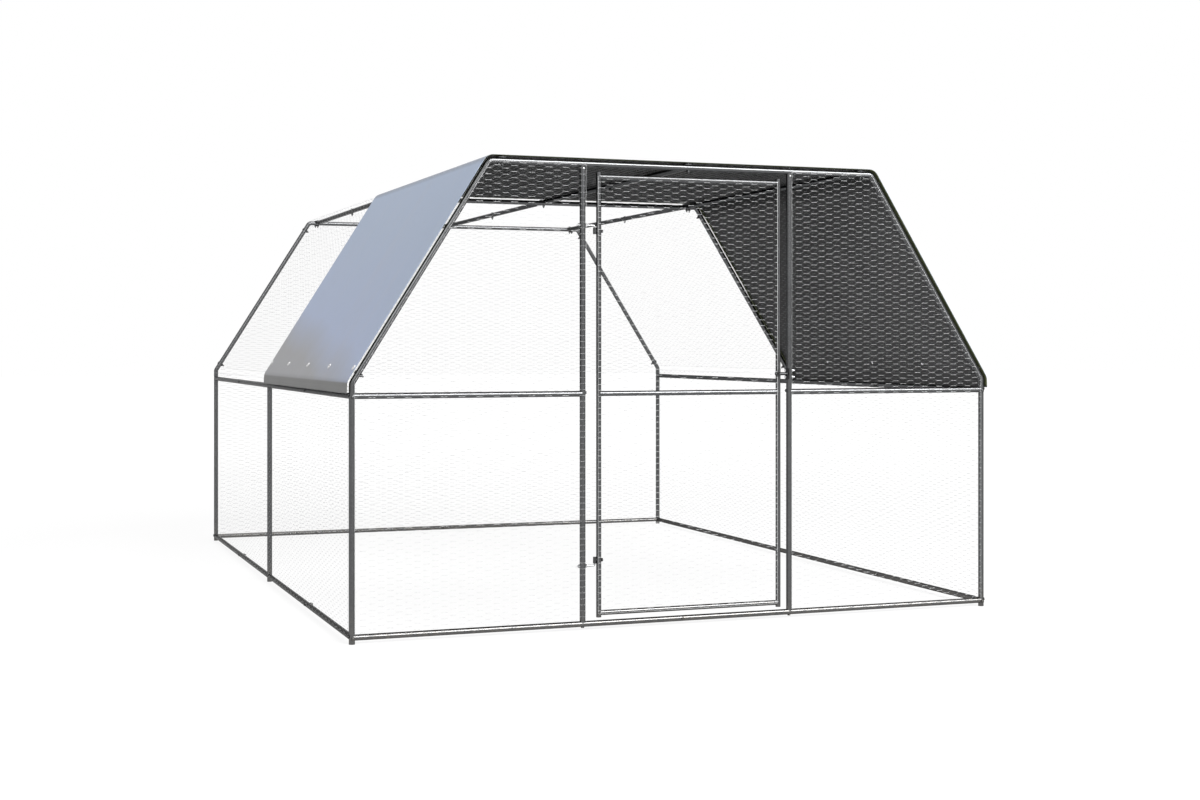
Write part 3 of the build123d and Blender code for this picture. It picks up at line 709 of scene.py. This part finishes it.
def make_netting(name, node, body, seed, wire, gauge=1.0, part=(0.0, 1.0), past=(0.0, 0.0)):
    # A part of a panel between two shares of its width, carried past its sides over the tubes
    middle, level, rising, normal, outline = net_plane(node)
    low = outline[:, 0].min()
    high = outline[:, 0].max()
    left = low + part[0] * (high - low) - past[0]
    right = low + part[1] * (high - low) + past[1]
    on_left = np.abs(outline[:, 0] - low) < net_side_tolerance
    on_right = np.abs(outline[:, 0] - high) < net_side_tolerance
    outline[:, 0] = np.where(on_left, left, np.where(on_right, right, np.clip(outline[:, 0], left, right)))
    rings, middles, first, second = twisted_wires(outline, seed, gauge, (low, high))
    enter, leave = clip_spans(middles[first, :2], middles[second, :2], outline)
    kept = leave > enter + shortest_span_share
    first, second, enter, leave = first[kept], second[kept], enter[kept], leave[kept]

    def rings_at(share):
        share = share[:, None, None]
        return rings[first] * (1 - share) + rings[second] * share

    cut_start = enter > 0
    cut_end = leave < 1
    count = len(rings)
    start_ring = np.where(cut_start, count + np.cumsum(cut_start) - 1, first)
    count += int(cut_start.sum())
    end_ring = np.where(cut_end, count + np.cumsum(cut_end) - 1, second)
    rings = np.concatenate([rings, rings_at(enter)[cut_start], rings_at(leave)[cut_end]])
    used, packed = np.unique(np.concatenate([start_ring, end_ring]), return_inverse=True)
    rings = rings[used]
    start_ring = packed[:len(start_ring)]
    end_ring = packed[len(start_ring):]
    around = np.arange(3)
    ahead = (around + 1) % 3
    faces = np.stack([start_ring[:, None] * 3 + around, start_ring[:, None] * 3 + ahead,
                      end_ring[:, None] * 3 + ahead, end_ring[:, None] * 3 + around], axis=2).reshape(-1, 4)
    wires = Solids()
    wires.add(rings.reshape(-1, 3), faces)
    whole = part == (0.0, 1.0)
    if not whole:
        # The two halves meet without an edge wire between them
        meeting = np.abs(outline[:, 0] - (left if part[0] > 0 else right)) < net_meeting_tolerance
        start = int(np.argmax(meeting & ~np.roll(meeting, -1)))
        outline = np.roll(outline, -start, axis=0)[:np.count_nonzero(~meeting) + 2]
    wires.add_rings(edge_wire(outline, edge_wire_radius * gauge, whole), closed_loop=whole)
    flat = np.vstack(wires.points)
    points = middle + flat[:, 0:1] * level + flat[:, 1:2] * rising + flat[:, 2:3] * normal
    piece = make_piece(name, points, np.vstack(wires.faces), [wire], body)
    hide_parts(node)
    low = flat[:, :2].min(axis=0)
    size = (flat[:, :2].max(axis=0) - low).max()
    lay_out(piece, "OFBake", (flat[:, :2] - low) / size)


make_netting("front_left_netting", "front_left_net", "cage", 1, bright_wire, past=(0.0, post_cover))
make_netting("front_right_netting", "front_right_net", "cage", 2, bright_wire)
make_netting("door_netting", "door_net", "door", 3, bright_wire, past=(stile_cover, 0.0))
large_nets = {"rear": (wire_with_painted_shade, rear_gauge), "left_wall": (wire_with_painted_shade, wall_gauge),
              "right_wall": (wire_with_painted_shade, wall_gauge), "left_slope": (wire_with_painted_shade, slope_gauge),
              "right_slope": (wire_with_painted_shade, slope_gauge), "roof": (bright_wire, roof_gauge)}
for number, (place, (wire, gauge)) in enumerate(large_nets.items()):
    for half, part in (("first", (0.0, 0.5)), ("second", (0.5, 1.0))):
        make_netting(f"{place}_{half}_netting", f"{place}_net", "cage", 4 + number, wire, gauge, part)


# Lines of the arch, read from the front arch's tubes

post_foot, post_head = sorted(tube_axis("front_right_post"), key=lambda p: p[2])
slope_low, slope_high = sorted(tube_axis("front_right_slope"), key=lambda p: p[2])
front_y = post_foot[1]
half_width = post_foot[0]
top_z = tube_axis("front_top_tube")[0][2]
slope_run = (slope_high - slope_low) / np.linalg.norm(slope_high - slope_low)
knee_z = slope_low[2] + (half_width - slope_low[0]) / slope_run[0] * slope_run[2]
shoulder_x = slope_low[0] + (top_z - slope_low[2]) / slope_run[2] * slope_run[0]
slope_turn = math.acos(slope_run[2])
shoulder_turn = math.pi / 2 - slope_turn
bend_radius = (knee_z - post_head[2]) / math.tan(slope_turn / 2)
door_post_x = tube_axis("right_door_post")[0][0]
bottom_rail_z = np.mean(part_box("front_bottom_rail"), axis=0)[2]


# Cover

cover_low, cover_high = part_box("cover_sheet")
cover_level = cover_high[2] - cover_thickness / 2 - top_z
flap_z = cover_low[2]
cover_front = cover_low[1]
cover_rear = cover_high[1]
cover_bend = bend_radius + cover_level


def cover_section():
    # Lengths from the middle of the top outwards: flat, shoulder bend, slope, knee bend and flap
    knee = np.array([half_width + cover_level, knee_z + cover_level * math.tan(slope_turn / 2)])
    shoulder = np.array([shoulder_x + cover_level * math.tan(shoulder_turn / 2), top_z + cover_level])
    shoulder_cut = cover_bend * math.tan(shoulder_turn / 2)
    knee_cut = cover_bend * math.tan(slope_turn / 2)
    slope = np.linalg.norm(shoulder - knee) - shoulder_cut - knee_cut
    flap = knee[1] - knee_cut - flap_z
    return [shoulder[0] - shoulder_cut, cover_bend * shoulder_turn, slope, cover_bend * slope_turn, flap]


section_lengths = cover_section()
section_marks = np.concatenate([[0.0], np.cumsum(section_lengths)])
half_girth = section_marks[-1]


def section_place(length):
    # Place (x, z) and outward normal of the cover's section at a signed length from its middle
    side = math.copysign(1.0, length)
    rest = abs(length)
    x, z, heading = 0.0, top_z + cover_level, 0.0
    turns = [0.0, shoulder_turn, 0.0, slope_turn, 0.0]
    for run, turn in zip(section_lengths, turns):
        step = min(rest, run)
        if turn:
            angle = step / cover_bend
            x += cover_bend * (math.sin(heading + angle) - math.sin(heading))
            z += cover_bend * (math.cos(heading + angle) - math.cos(heading))
            heading += angle
        else:
            x += step * math.cos(heading)
            z -= step * math.sin(heading)
        rest -= step
        if rest <= 0:
            break
    return side * x, z, side * math.sin(heading), math.cos(heading)


def spaced(low, high, step):
    return np.linspace(low, high, max(2, int(round((high - low) / step)) + 1))


eyelet_length = section_marks[3] + cover_bend * slope_turn / 2 - eyelet_rise
eyelet_ys = np.linspace(cover_front + eyelet_end_margin, cover_rear - eyelet_end_margin, eyelets_per_side)


def cover_lines():
    # Grid lengths across the cover and along it, closer at bends, hems and eyelets
    top_end, slope_start, slope_end, flap_start = section_marks[1:5]
    eyelet_start = eyelet_length - eyelet_grid_reach
    eyelet_end = eyelet_length + eyelet_grid_reach
    hem_start = half_girth - hem_width
    half = [spaced(0, top_end, cloth_step), spaced(top_end, slope_start, cloth_bend_step),
            spaced(slope_start, eyelet_start, cloth_step),
            spaced(eyelet_start, eyelet_end, eyelet_grid_step),
            spaced(eyelet_end, slope_end, cloth_knee_step),
            spaced(slope_end, flap_start, cloth_bend_step),
            [hem_start - hem_shoulder], spaced(hem_start, half_girth, hem_step)]
    half = np.unique(np.round(np.concatenate(half), 5))
    across = np.concatenate([-half[:0:-1], half])
    clear = eyelet_grid_reach + eyelet_grid_margin
    along = [y for y in spaced(cover_front, cover_rear, cloth_step) if np.abs(eyelet_ys - y).min() > clear]
    for y in eyelet_ys:
        along.extend(spaced(y - eyelet_grid_reach, y + eyelet_grid_reach, eyelet_grid_step))
    along = np.unique(np.round(np.concatenate([along, [cover_front, cover_rear]]), 5))
    return across, along


def cover_lift(length, y):
    # How far the cloth stands out from its even line
    share = (y - cover_front) / (cover_rear - cover_front)
    puff = math.sin(math.pi * share) ** 2
    rest = abs(length)
    if rest < section_marks[1]:
        span = math.sin(math.pi * (rest / section_marks[1] * 0.5 + 0.5)) ** 2
    elif section_marks[2] < rest < section_marks[3]:
        span = math.sin(math.pi * (rest - section_marks[2]) / section_lengths[2]) ** 2
    else:
        span = 0.0
    lift = billow * puff * span
    down = max(0.0, (rest - section_marks[3]) / (half_girth - section_marks[3]))
    wave = math.sin(y * 2 * math.pi / hem_wave_length + hem_wave_drift * math.sin(hem_drift_rate * y))
    lift += hem_wave * down * (1 + wave)
    near = abs(rest - eyelet_length)
    if near < pucker_reach:
        pull = np.exp(-((eyelet_ys - y) ** 2) / pucker_spread).sum()
        lift += pucker_height * (1 - near / pucker_reach) * (1 - pull)
    return max(0.0, lift)


def rear_tuck(length):
    # How far the rear edge lies short of its line, on the upper part of the right slope
    share = (length - section_marks[1]) / (section_lengths[1] + tuck_slope_share * section_lengths[2])
    if not 0 < share < 1:
        return 0.0
    return tuck_depth * min(1.0, tuck_ramp * share, tuck_ramp * (1 - share))


def edge_place(length, y):
    # Place along the cage of a point of the cover, drawn forward where the rear edge is tucked
    share = max(0.0, 1 - (cover_rear - y) / tuck_reach)
    return y - rear_tuck(length) * share


def make_cover():
    across, along = cover_lines()
    count = len(across) * len(along)
    outer = np.empty((len(across), len(along), 3))
    inner = np.empty_like(outer)
    cloth = np.empty((len(across), len(along), 2))
    for i, length in enumerate(across):
        x, z, nx, nz = section_place(length)
        hem = hem_rise if abs(length) >= half_girth - hem_width else 0.0
        for j, y in enumerate(along):
            lift = cover_lift(length, y)
            out = lift + cloth_thickness / 2 + hem
            inside = lift - cloth_thickness / 2
            place = edge_place(length, y)
            outer[i, j] = (x + nx * out, place, z + nz * out)
            inner[i, j] = (x + nx * inside, place, z + nz * inside)
            cloth[i, j] = (length, y)
    number = np.arange(count).reshape(len(across), len(along))
    # Faces are left out inside the eyelets
    solid = np.ones((len(across) - 1, len(along) - 1), dtype=bool)
    mid_across = (across[:-1] + across[1:]) / 2
    mid_along = (along[:-1] + along[1:]) / 2
    for length in (-eyelet_length, eyelet_length):
        for y in eyelet_ys:
            far = np.hypot(mid_across[:, None] - length, mid_along[None, :] - y)
            solid &= far >= eyelet_hole
    outer_faces = np.stack([number[:-1, :-1][solid], number[1:, :-1][solid], number[1:, 1:][solid],
                            number[:-1, 1:][solid]], axis=1)
    inner_faces = outer_faces[:, ::-1] + count
    # Side walls wherever a face has no neighbour
    edges = {}
    for face in outer_faces:
        for k in range(4):
            a, b = int(face[k]), int(face[(k + 1) % 4])
            if (b, a) in edges:
                del edges[(b, a)]
            else:
                edges[(a, b)] = True
    rim = np.array([(b, a, a + count, b + count) for a, b in edges])
    faces = np.vstack([outer_faces, inner_faces, rim])
    points = np.vstack([outer.reshape(-1, 3), inner.reshape(-1, 3)])
    used, packed = np.unique(faces, return_inverse=True)
    faces = packed.reshape(faces.shape)
    flat = np.vstack([cloth.reshape(-1, 2), cloth.reshape(-1, 2)])[used]
    kinds = np.concatenate([np.zeros(len(outer_faces)), np.ones(len(inner_faces)), np.zeros(len(rim))])
    piece = make_piece("cover_cloth", points[used], faces, [cover_outside, cover_inside], "cage",
                       face_materials=kinds)
    lay_out(piece, "cloth", flat)
    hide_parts("cover_sheet")


def make_edge_tapes():
    # Olive tape sewn inside the front and rear edges of the cover
    tape = Solids()
    across = cover_lines()[0]
    for edge, inward in ((cover_front, 1.0), (cover_rear, -1.0)):
        near = edge + inward * edge_tape_setback
        far = edge + inward * edge_tape_width
        rings = []
        for length in across[1:-1]:
            x, z, nx, nz = section_place(length)
            ring = []
            for y, depth in ((near, edge_tape_gap), (far, edge_tape_gap), (far, edge_tape_thickness),
                             (near, edge_tape_thickness)):
                level = cover_lift(length, y) - cloth_thickness / 2 - depth
                ring.append((x + nx * level, edge_place(length, y), z + nz * level))
            rings.append(ring if inward < 0 else ring[::-1])
        tape.add_rings(rings)
    tape.piece("cover_edge_tapes", olive_edge_tape, "cage", "cover_fabric", False)


def make_eyelets():
    # Pressed metal eyelets along both slopes of the cover, with a ring of cloth behind each
    rings = Solids()
    patches = Solids()
    half = cloth_thickness / 2
    roll = [(eyelet_hole - 0.0004, 0.0), (eyelet_hole - 0.0004, half + 0.0024),
            (eyelet_hole + 0.0006, half + 0.0042), (eyelet_hole + 0.0022, half + 0.0047),
            (eyelet_hole + 0.0040, half + 0.0038), (eyelet_ring - 0.0010, half + 0.0018),
            (eyelet_ring, half + 0.0005), (eyelet_ring - 0.0006, half)]
    back = [(eyelet_hole - 0.0002, -half - 0.0001), (eyelet_ring - 0.0006, -half - 0.0001),
            (eyelet_ring, -half - 0.0005), (eyelet_hole + 0.0006, -half - 0.0014)]
    for side in (-1, 1):
        x, z, nx, nz = section_place(side * eyelet_length)
        for y in eyelet_ys:
            lift = cover_lift(eyelet_length, y)
            seat = (x + nx * lift, y, z + nz * lift)
            rings.add_rings(lathe_rings(seat, (nx, 0.0, nz), roll, eyelet_sides), closed_loop=True)
            patches.add_rings(lathe_rings(seat, (nx, 0.0, nz), back, eyelet_sides), closed_loop=True)
    rings.piece("cover_eyelets", eyelet_alloy, "cage", "zinc_hardware")
    patches.piece("eyelet_patches", cover_inside, "cage", "cover_fabric")


make_cover()
make_edge_tapes()
make_eyelets()


# Bolts

def hexagon_rings(seat, direction, height, low_chamfer):
    # Chamfered hexagon block: rings from the seat to the top
    direction, side, other = axes_from(direction)
    angles = np.arange(bolt_points) * 2 * math.pi / bolt_points
    flat = bolt_across_flats / 2
    inner = flat * bolt_chamfer_circle
    reach = flat / np.cos((angles + math.pi / 6) % (math.pi / 3) - math.pi / 6)
    drop = (reach - inner) * math.tan(bolt_chamfer_angle)
    circle = np.cos(angles)[:, None] * side + np.sin(angles)[:, None] * other

    def ring(radius, level):
        wide = np.broadcast_to(radius, bolt_points)[:, None]
        high = np.broadcast_to(level, bolt_points)[:, None]
        return np.asarray(seat) + circle * wide + direction * high

    bottom = [ring(inner, 0.0), ring(reach, drop)] if low_chamfer else [ring(reach, 0.0)]
    return [*bottom, ring(reach, height - drop), ring(inner, height)]


def thread_rings(seat, direction, length):
    # Threaded tail of a bolt: ridges one pitch apart and a narrower end
    profile = []
    for i in range(int(round(length / bolt_thread_pitch))):
        profile.append((bolt_thread_radius, i * bolt_thread_pitch))
        profile.append((bolt_thread_radius * bolt_thread_root, (i + 0.5) * bolt_thread_pitch))
    profile.append((bolt_thread_radius * bolt_thread_end, length))
    return lathe_rings(seat, direction, profile, bolt_thread_sides)


def carrier_line(place, axis):
    # Middle of the nearest tube that a single bolt head bears on, along the bolt's axis
    if axis == 0:
        lines = [side * x for side in (-1.0, 1.0) for x in (half_width, door_post_x)]
    elif axis == 1:
        lines = [front_y, -front_y]
    else:
        lines = [bottom_rail_z, top_z]
    return min(lines, key=lambda line: abs(line - place[axis]))


def bolt_ends_of(name):
    # Seat and outward direction of each head and nut of a CAD bolt node
    blocks = [(block.min(axis=0), block.max(axis=0)) for block in islands(name)]
    ends = []
    for low, high in blocks:
        middle = (low + high) / 2
        axis = int(np.argmin(high - low))
        mates = []
        for other_low, other_high in blocks:
            other = (other_low + other_high) / 2
            gap = other - middle
            aside = np.abs(np.delete(gap, axis)).max()
            if bolt_mate_nearest < abs(gap[axis]) < bolt_mate_farthest and aside < bolt_mate_aside:
                mates.append(gap[axis])
        if mates:
            away = -math.copysign(1.0, min(mates, key=abs))
        else:
            away = math.copysign(1.0, middle[axis] - carrier_line(middle, axis))
        direction = np.zeros(3)
        direction[axis] = away
        seat = middle.copy()
        seat[axis] = low[axis] if away > 0 else high[axis]
        height = (high - low)[axis]
        ends.append((seat, direction, height))
    return ends


def make_bolts(name, node, finish, axes=(0, 1, 2)):
    # The bolts of a node that lie along the given axes
    metal = Solids()
    for seat, direction, height in bolt_ends_of(node):
        if np.abs(direction).argmax() not in axes:
            continue
        is_nut = height > (bolt_head_height + bolt_nut_height) / 2
        metal.add_rings(hexagon_rings(seat, direction, height, is_nut))
        if is_nut:
            tail = seat + direction * (height - bolt_tail_overlap)
            metal.add_rings(thread_rings(tail, direction, bolt_tail_length))
    piece = metal.piece(name, finish, "cage", "zinc_hardware", False)
    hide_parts(node)


def add_through_bolt(metal, axis_place, direction):
    # A bolt through a frame tube: low head outside, nut and threaded tail inside
    direction = np.asarray(direction, dtype=float)
    bearing = direction * (tube_radius + bolt_bearing_gap)
    tail = axis_place - bearing - direction * (bolt_nut_height - bolt_tail_overlap)
    metal.add_rings(hexagon_rings(axis_place + bearing, direction, low_head_height, False))
    metal.add_rings(hexagon_rings(axis_place - bearing, -direction, bolt_nut_height, True))
    metal.add_rings(thread_rings(tail, -direction, bolt_tail_length))


def make_post_screws():
    # Round-headed screws that hold the plugs in the tops of the door posts
    metal = Solids()
    dome = [(screw_head_radius * wide, screw_head_height * high)
            for wide, high in ((1.0, 0.0), (1.0, 0.25), (0.88, 0.58), (0.62, 0.88), (0.25, 1.0))]
    for side in (-1, 1):
        seat = (side * door_post_x, front_y - tube_radius - bolt_bearing_gap,
                top_z - tube_radius - screw_drop)
        metal.add_rings(lathe_rings(seat, (0.0, -1.0, 0.0), dome, screw_sides))
    metal.piece("door_post_screws", zinc_painted_glint, "cage", "zinc_hardware")


def make_arch_joint_bolts():
    # Bolts through each slope tube and top tube into the elbows at their ends
    metal = Solids()
    for arch in ("front", "middle", "rear"):
        for side, turn in (("left", -1.0), ("right", 1.0)):
            low, high = sorted(tube_axis(f"{arch}_{side}_slope"), key=lambda p: p[2])
            run = (high - low) / np.linalg.norm(high - low)
            outward = np.array([turn * run[2], 0.0, abs(run[0])])
            for place in (low + run * joint_bolt_inset, high - run * joint_bolt_inset):
                add_through_bolt(metal, place, outward)
        for end in tube_axis(f"{arch}_top_tube"):
            place = end - [math.copysign(top_bolt_inset, end[0]), 0.0, 0.0]
            add_through_bolt(metal, place, (0.0, 0.0, 1.0))
    metal.piece("arch_joint_bolts", zinc_painted_shade, "cage", "zinc_hardware", False)


def make_splice_bolts():
    # Bolts through the slip joints of the rails and purlins
    metal = Solids()
    for name in nodes:
        if "rail" not in name and "purlin" not in name or name == "door_rails" or "mid_rail" in name:
            continue
        halves = [(half.min(axis=0), half.max(axis=0)) for half in islands(name)]
        low = np.min([half[0] for half in halves], axis=0)
        high = np.max([half[1] for half in halves], axis=0)
        along = int(np.argmax(high - low))
        halves.sort(key=lambda half: half[0][along])
        outward = np.zeros(3)
        if "purlin" in name:
            outward[2] = 1.0
        elif along == 1:
            outward[0] = math.copysign(1.0, (low + high)[0])
        else:
            outward[1] = math.copysign(1.0, (low + high)[1])
        for (first_low, first_high), (second_low, _) in zip(halves, halves[1:]):
            lap = first_high[along] - second_low[along]
            if lap < splice_least_lap:
                continue
            place = (first_low + first_high) / 2
            place[2] = first_low[2] + tube_radius
            place[along] = (first_high[along] + second_low[along]) / 2
            add_through_bolt(metal, place, outward)
    metal.piece("splice_bolts", zinc_painted_shade, "cage", "zinc_hardware", False)


# Frame and post bolts in the painted shade tone, keeper nuts in the painted glint tone
make_bolts("frame_bolt_set", "frame_bolts", zinc_painted_shade)
make_bolts("door_post_bolt_set", "door_bolts", zinc_painted_shade, axes=(2,))
make_bolts("keeper_bolt_set", "door_bolts", zinc_painted_glint, axes=(0,))
make_post_screws()
make_arch_joint_bolts()
make_splice_bolts()


# Metals of the CAD nodes that stay, with the zinc hardware in painted glint and painted shade tones

node_painted_zinc_tones = {"hinge_pintles": zinc_painted_soft_glint, "hinge_eyes": zinc_painted_shade, "latch_guide": zinc_painted_shade,
                 "latch_rod": zinc_painted_shade, "keeper_plate": zinc_painted_shade}
for name, node in nodes.items():
    for slot in node.material_slots:
        slot.material = node_painted_zinc_tones.get(name, tube_steel)


# Stage, light and camera

floor_reach = 60.0
floor_shade = 0.13
floor_bounce = 0.32
floor_glow = (0.86, 1.0)
floor_glow_reach = (3.5, 12.0)
world_fill = 0.5
white = (1.0, 1.0, 1.0, 1.0)


def seen_directly(tree):
    # Rays from the camera, and those that metal mirrors or clear sheet lets through
    path = tree.nodes.new("ShaderNodeLightPath")
    seen = math_node(tree, "MAXIMUM", path.outputs["Is Camera Ray"], path.outputs["Is Glossy Ray"])
    return math_node(tree, "MAXIMUM", seen, path.outputs["Is Transmission Ray"])


def make_floor_white():
    # Matt floor that takes the shadow, with a glow that whitens away from the cage
    material = bpy.data.materials.new("white_floor")
    material.use_nodes = True
    tree = material.node_tree
    tree.nodes.clear()
    output = tree.nodes.new("ShaderNodeOutputMaterial")
    matt = tree.nodes.new("ShaderNodeBsdfDiffuse")
    path = tree.nodes.new("ShaderNodeLightPath")
    shade = remap(tree, path.outputs["Is Diffuse Ray"], 0, 1, floor_shade, floor_bounce)
    tree.links.new(shade, matt.inputs["Color"])
    place = split_axes(tree, object_position(tree))
    squares = [math_node(tree, "POWER", place[axis], 2.0) for axis in ("X", "Y")]
    far = math_node(tree, "POWER", math_node(tree, "ADD", *squares), 0.5)
    strength = remap(tree, far, *floor_glow_reach, *floor_glow)
    glow = tree.nodes.new("ShaderNodeEmission")
    glow.inputs["Color"].default_value = white
    tree.links.new(math_node(tree, "MULTIPLY", seen_directly(tree), strength), glow.inputs["Strength"])
    both = tree.nodes.new("ShaderNodeAddShader")
    tree.links.new(matt.outputs["BSDF"], both.inputs[0])
    tree.links.new(glow.outputs["Emission"], both.inputs[1])
    tree.links.new(both.outputs["Shader"], output.inputs["Surface"])
    return material


def make_floor():
    mesh = bpy.data.meshes.new("floor")
    corners = [(x * floor_reach, y * floor_reach, 0.0) for x, y in ((-1, -1), (1, -1), (1, 1), (-1, 1))]
    mesh.from_pydata(corners, [], [(0, 1, 2, 3)])
    mesh.materials.append(make_floor_white())
    floor = bpy.data.objects.new("floor", mesh)
    bpy.context.scene.collection.objects.link(floor)


def make_world():
    world = bpy.data.worlds.new("studio")
    bpy.context.scene.world = world
    world.use_nodes = True
    tree = world.node_tree
    tree.nodes.clear()
    output = tree.nodes.new("ShaderNodeOutputWorld")
    glow = tree.nodes.new("ShaderNodeBackground")
    glow.inputs["Color"].default_value = white
    tree.links.new(remap(tree, seen_directly(tree), 0, 1, world_fill, 1.0), glow.inputs["Strength"])
    tree.links.new(glow.outputs["Background"], output.inputs["Surface"])


def softbox(name, place, target, width, height, power, roll=0.0):
    light = bpy.data.lights.new(name, "AREA")
    light.shape = "RECTANGLE"
    light.size = width
    light.size_y = height
    light.energy = power
    holder = bpy.data.objects.new(name, light)
    bpy.context.scene.collection.objects.link(holder)
    holder.location = place
    facing = (Vector(target) - Vector(place)).to_track_quat("-Z", "Y")
    holder.rotation_euler = (facing @ Quaternion((0.0, 0.0, 1.0), math.radians(roll))).to_euler()


camera_place = (-2.978, -8.896, 1.217)
camera_lens = 51.58
camera_turn = math.radians(-20.387)
camera_rise = -0.0456
camera_sensor = 36.0
camera_reach = 200.0


def make_camera():
    lens = bpy.data.cameras.new("photo_camera")
    lens.lens = camera_lens
    lens.sensor_width = camera_sensor
    lens.clip_end = camera_reach
    lens.shift_y = camera_rise
    camera = bpy.data.objects.new("photo_camera", lens)
    bpy.context.scene.collection.objects.link(camera)
    camera.location = camera_place
    camera.rotation_euler = (math.pi / 2, 0.0, camera_turn)
    bpy.context.scene.camera = camera


make_floor()
make_world()
softbox("front_softbox", place=(3.6, -10.0, 6.6), target=(0.0, -1.0, 1.0), width=8.0, height=3.6,
        power=2000.0)
softbox("left_softbox", place=(-6.0, -10.0, 6.6), target=(-1.2, -2.0, 1.5), width=6.0, height=2.0,
        power=190.0, roll=-27.6)
softbox("overhead_softbox", place=(-1.0, 0.5, 8.0), target=(0.0, 0.0, 1.0), width=6.0, height=6.0,
        power=300.0)
make_camera()
bpy.context.scene.view_settings.view_transform = "Standard"
